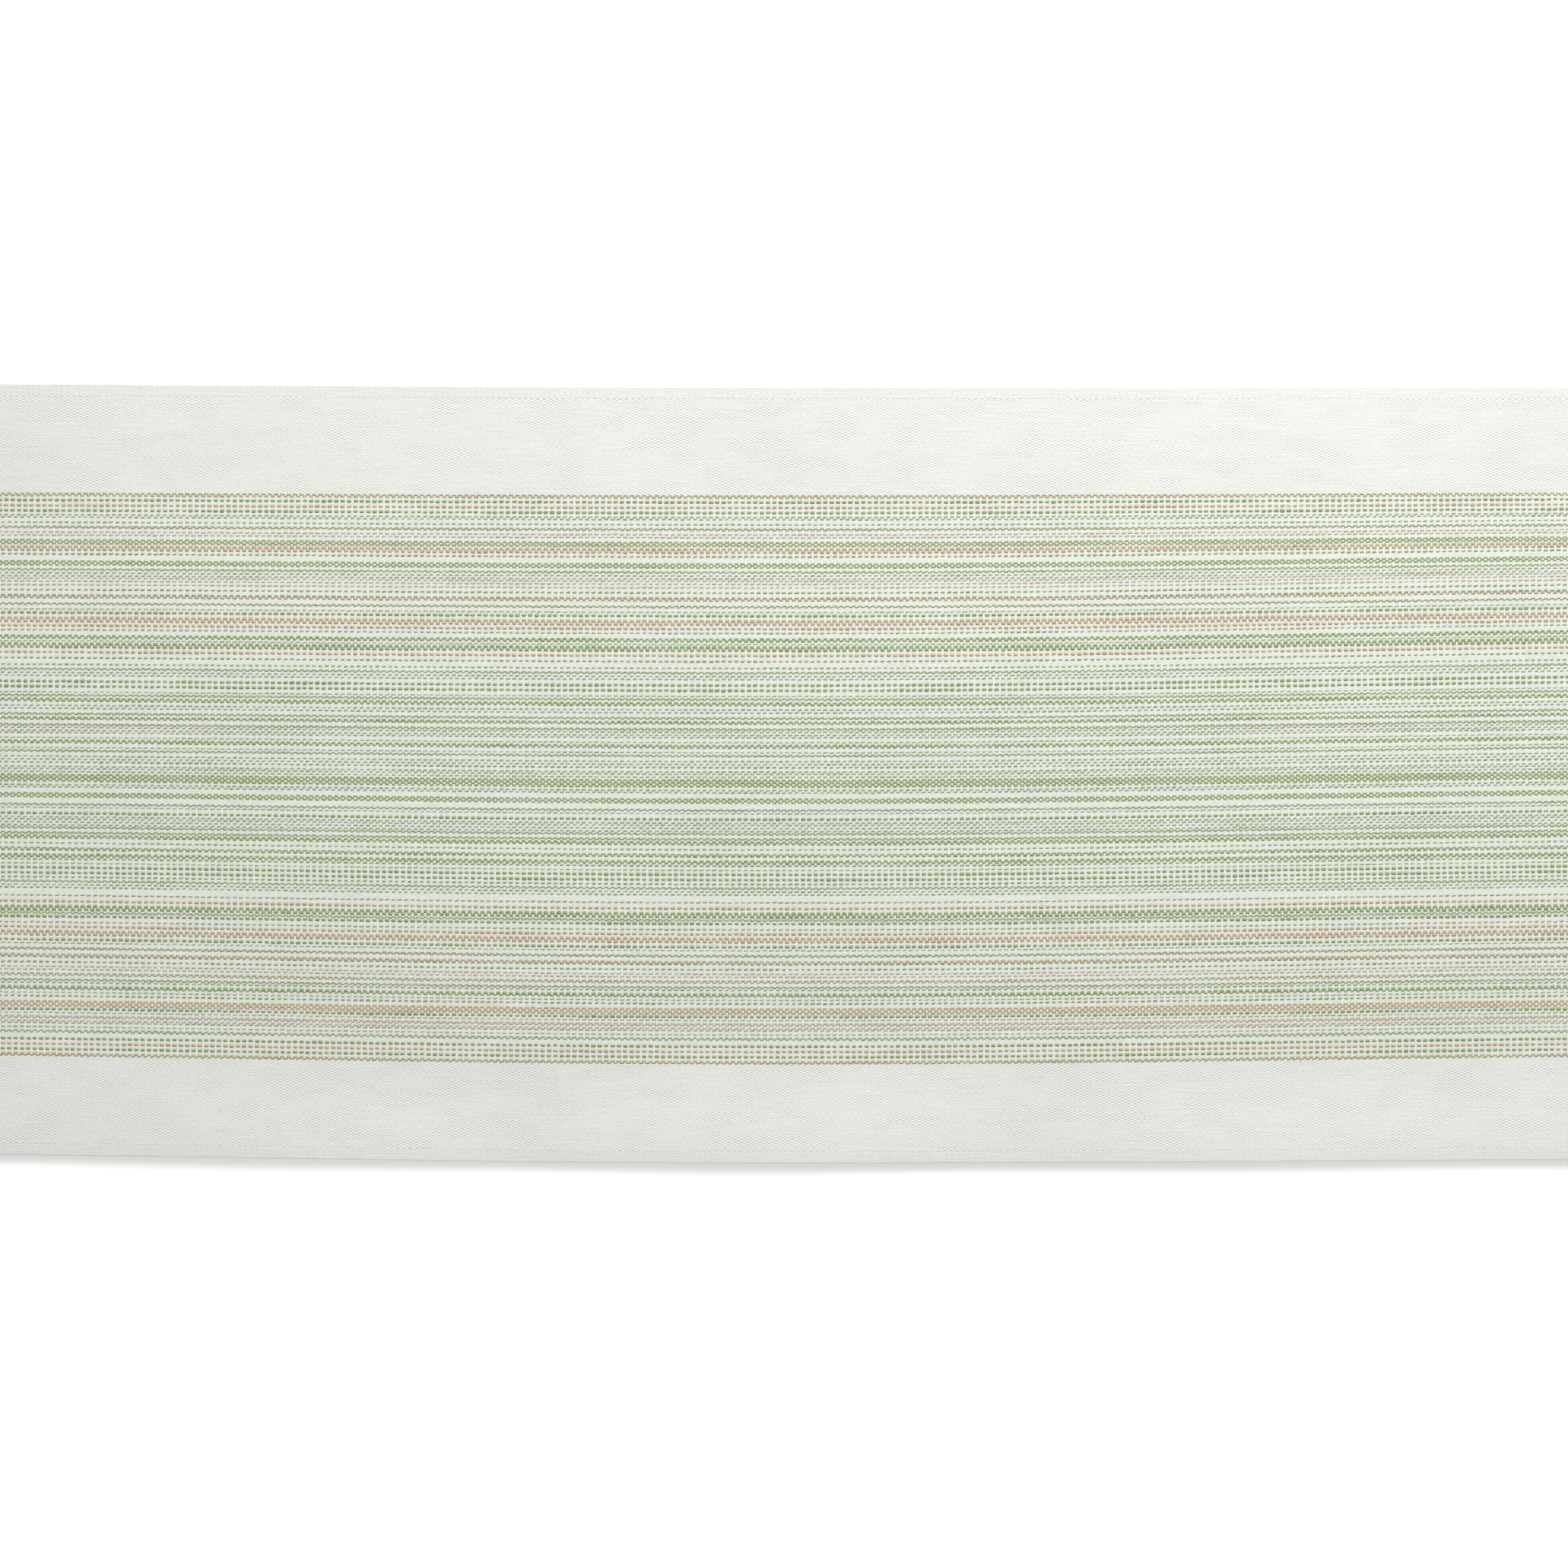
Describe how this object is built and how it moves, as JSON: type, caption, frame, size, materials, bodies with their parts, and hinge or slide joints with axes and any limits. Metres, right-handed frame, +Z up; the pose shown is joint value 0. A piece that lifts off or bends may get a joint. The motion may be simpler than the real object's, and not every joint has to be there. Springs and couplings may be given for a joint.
{
  "type": "table runner",
  "caption": "Long woven cotton table runner with plain pale side bands, a middle field of fine sage green and tan lengthwise stripes, selvedge sides and stitched end hems.",
  "frame": {"origin": "centre of the underside, on the surface that the runner lies on", "axes": "+X along the length, +Y to the back edge (the wider plain band), +Z up through the cloth"},
  "size_m": [1.829, 0.33, 0.0029],
  "materials": {
    "natural_cotton": "matte woven cotton, off-white with faint slubs and seed flecks",
    "selvedge_cotton": "matte dense woven edge, off-white",
    "sage_yarn": "matte twisted cotton yarn, sage green",
    "pale_sage_yarn": "matte twisted cotton yarn, pale sage",
    "faint_sage_yarn": "matte twisted cotton yarn, faint grey sage",
    "tan_yarn": "matte twisted cotton yarn, tan",
    "pale_tan_yarn": "matte twisted cotton yarn, pale tan",
    "olive_yarn": "matte twisted cotton yarn, olive",
    "sewing_thread": "slightly glossy spun sewing thread, off-white",
    "label_tape": "smooth satin tape, white and blank"
  },
  "bodies": {
    "left_end": {"left_back_selvedge": "selvedge_cotton", "left_back_border": "natural_cotton", "left_striped_ground": "natural_cotton", "left_front_border": "natural_cotton", "left_front_selvedge": "selvedge_cotton", "left_sage_bold_yarns": "sage_yarn", "left_sage_chain_yarns": "sage_yarn", "left_sage_fine_yarns": "sage_yarn", "left_pale_sage_yarns": "pale_sage_yarn", "left_faint_sage_yarns": "faint_sage_yarn", "left_tan_bold_yarns": "tan_yarn", "left_pale_tan_yarns": "pale_tan_yarn", "left_olive_yarns": "olive_yarn", "left_end_hem": "natural_cotton", "left_needle_thread": "sewing_thread", "left_bobbin_thread": "sewing_thread", "care_label": "label_tape"},
    "middle": {"middle_back_selvedge": "selvedge_cotton", "middle_back_border": "natural_cotton", "middle_striped_ground": "natural_cotton", "middle_front_border": "natural_cotton", "middle_front_selvedge": "selvedge_cotton", "middle_sage_bold_yarns": "sage_yarn", "middle_sage_chain_yarns": "sage_yarn", "middle_sage_fine_yarns": "sage_yarn", "middle_pale_sage_yarns": "pale_sage_yarn", "middle_faint_sage_yarns": "faint_sage_yarn", "middle_tan_bold_yarns": "tan_yarn", "middle_pale_tan_yarns": "pale_tan_yarn", "middle_olive_yarns": "olive_yarn"},
    "right_end": {"right_back_selvedge": "selvedge_cotton", "right_back_border": "natural_cotton", "right_striped_ground": "natural_cotton", "right_front_border": "natural_cotton", "right_front_selvedge": "selvedge_cotton", "right_sage_bold_yarns": "sage_yarn", "right_sage_chain_yarns": "sage_yarn", "right_sage_fine_yarns": "sage_yarn", "right_pale_sage_yarns": "pale_sage_yarn", "right_faint_sage_yarns": "faint_sage_yarn", "right_tan_bold_yarns": "tan_yarn", "right_pale_tan_yarns": "pale_tan_yarn", "right_olive_yarns": "olive_yarn", "right_end_hem": "natural_cotton", "right_needle_thread": "sewing_thread", "right_bobbin_thread": "sewing_thread"}
  },
  "joints": [
    {"name": "left_end_fold", "type": "hinge", "parent": "middle", "child": "left_end", "pos_m": [-0.6095, 0, 0.0011], "axis": [0, 1, 0], "range_deg": [-90, 179]},
    {"name": "right_end_fold", "type": "hinge", "parent": "middle", "child": "right_end", "pos_m": [0.6095, 0, 0.0011], "axis": [0, -1, 0], "range_deg": [-90, 179]}
  ]
}
